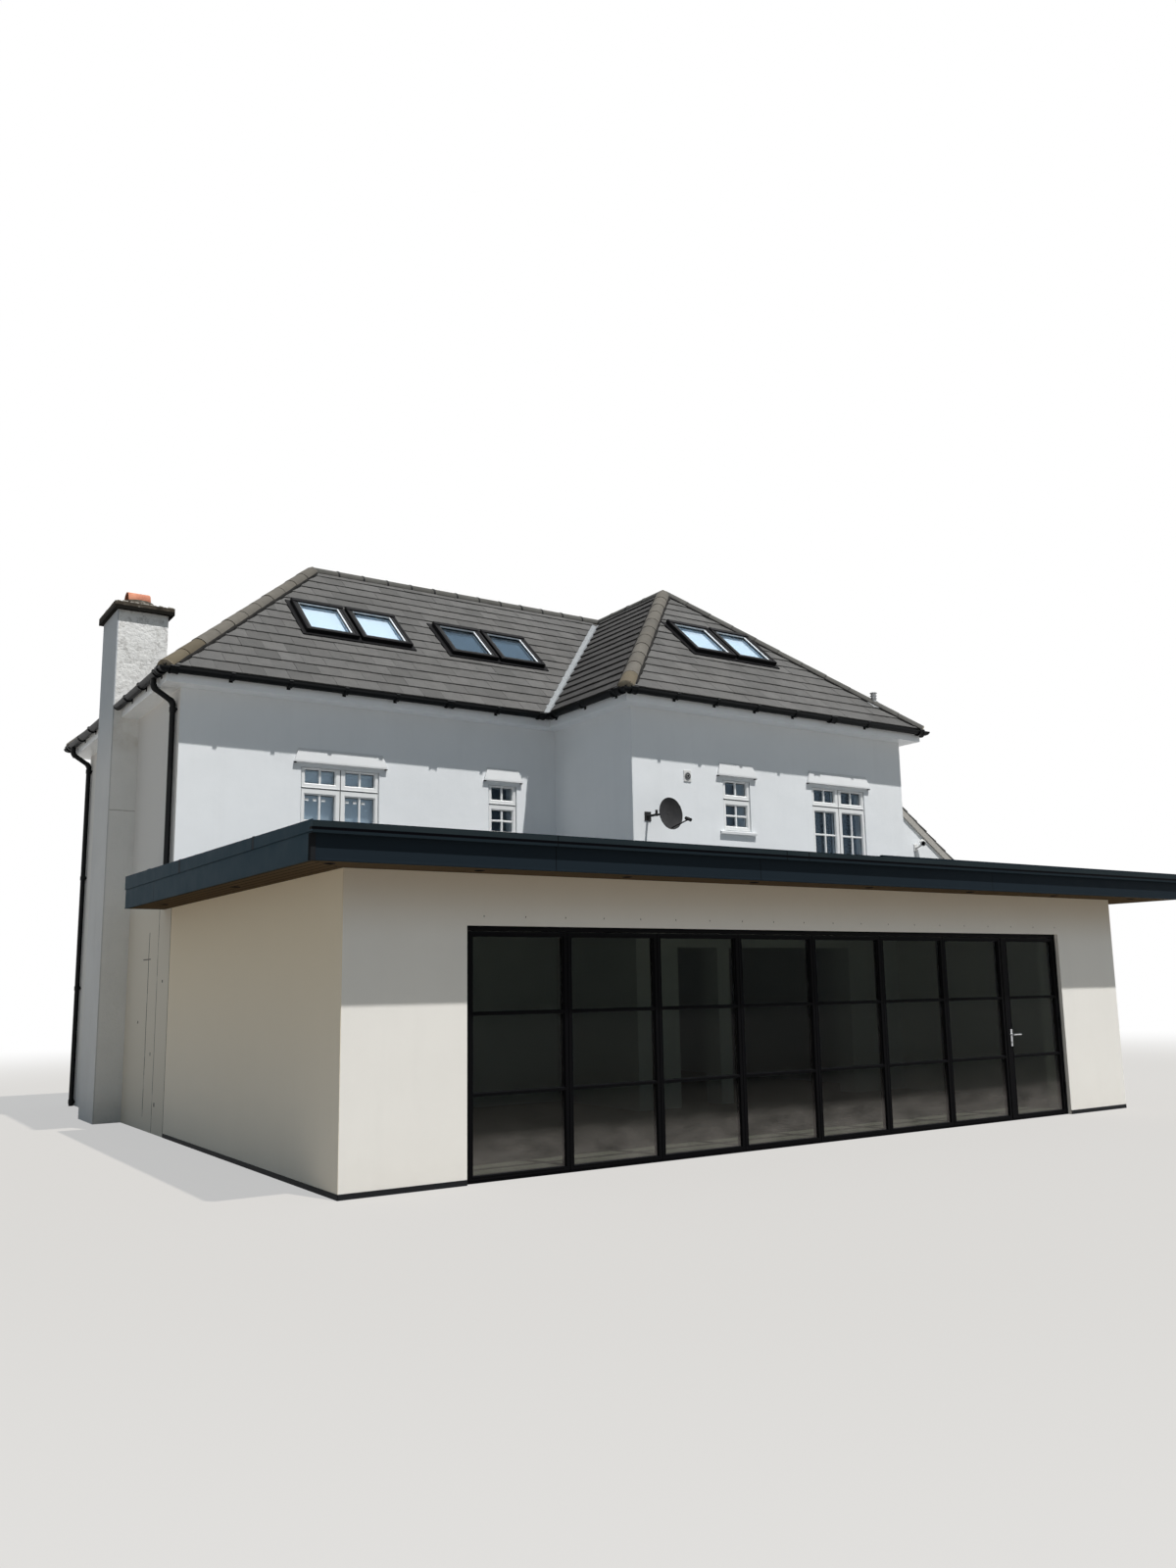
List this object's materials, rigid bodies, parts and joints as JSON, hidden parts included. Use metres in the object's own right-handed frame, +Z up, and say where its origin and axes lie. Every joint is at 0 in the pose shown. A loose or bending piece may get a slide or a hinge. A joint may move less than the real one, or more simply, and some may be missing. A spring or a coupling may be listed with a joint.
{
  "type": "detached house with garden extension",
  "caption": "White rendered house with an L-shaped hipped roof, a flat-roofed garden extension and a run of glazed folding doors.",
  "frame": {"origin": "centre of the building's plan box, at ground level", "axes": "+Z up, +X along the garden side towards the lean-to, -Y towards the garden"},
  "size_m": [13.412, 10.917, 7.8618],
  "materials": {
    "screed": "matt",
    "floor_board": "matt",
    "cream_render": "fine textured render",
    "white_render": "painted render",
    "roof_membrane": "matt",
    "soffit_board": "matt",
    "grey_metal": "satin",
    "black_metal": "satin",
    "glass": "clear",
    "handle_steel": "brushed",
    "roof_tile": "matt",
    "ridge_tile": "matt",
    "valley_metal": "satin",
    "white_board": "satin",
    "black_plastic": "satin",
    "cap_concrete": "weathered",
    "terracotta": "matt",
    "white_plastic": "satin",
    "dish_grey": "matt",
    "door_paint": "satin"
  },
  "bodies": {
    "house": {"ground_slab": "screed", "upper_floors": "floor_board", "extension_left_wall": "cream_render", "extension_right_wall": "cream_render", "extension_pier_left": "cream_render", "extension_pier_right": "cream_render", "extension_door_head": "cream_render", "extension_roof_deck": "roof_membrane", "extension_soffit": "soffit_board", "extension_fascia": "grey_metal", "extension_roof_edging": "grey_metal", "door_frame": "black_metal", "folding_leaves": "black_metal", "folding_glass": "glass", "left_wall": "white_render", "main_garden_wall": "white_render", "wing_side_wall": "white_render", "wing_garden_wall": "white_render", "right_wall": "white_render", "street_wall": "white_render", "roof_garden_slope": "roof_tile", "roof_left_slope": "roof_tile", "roof_street_slope": "roof_tile", "roof_right_slope": "roof_tile", "wing_garden_slope": "roof_tile", "wing_left_slope": "roof_tile", "ridge_and_hip_tiles": "ridge_tile", "valley_strip": "valley_metal", "rooflight_frames": "black_metal", "eaves_boards": "white_board", "eaves_gutter": "black_plastic", "downpipes": "black_plastic", "chimney_stack": "white_render", "chimney_cap": "cap_concrete", "chimney_tile": "terracotta", "window_frames": "white_plastic", "window_glass": "glass", "window_hoods_and_sills": "white_render", "satellite_dish": "dish_grey", "front_door": "door_paint", "lean_to_walls": "white_render", "lean_to_roof": "roof_tile"},
    "single_door": {"access_door": "black_metal", "access_door_glass": "glass", "access_door_handle": "handle_steel"}
  },
  "joints": [
    {"name": "single_door_hinge", "type": "hinge", "parent": "house", "child": "single_door", "pos_m": [2.817, -4.9365, 1], "axis": [0, 0, 1], "range_deg": [0, 90]}
  ]
}
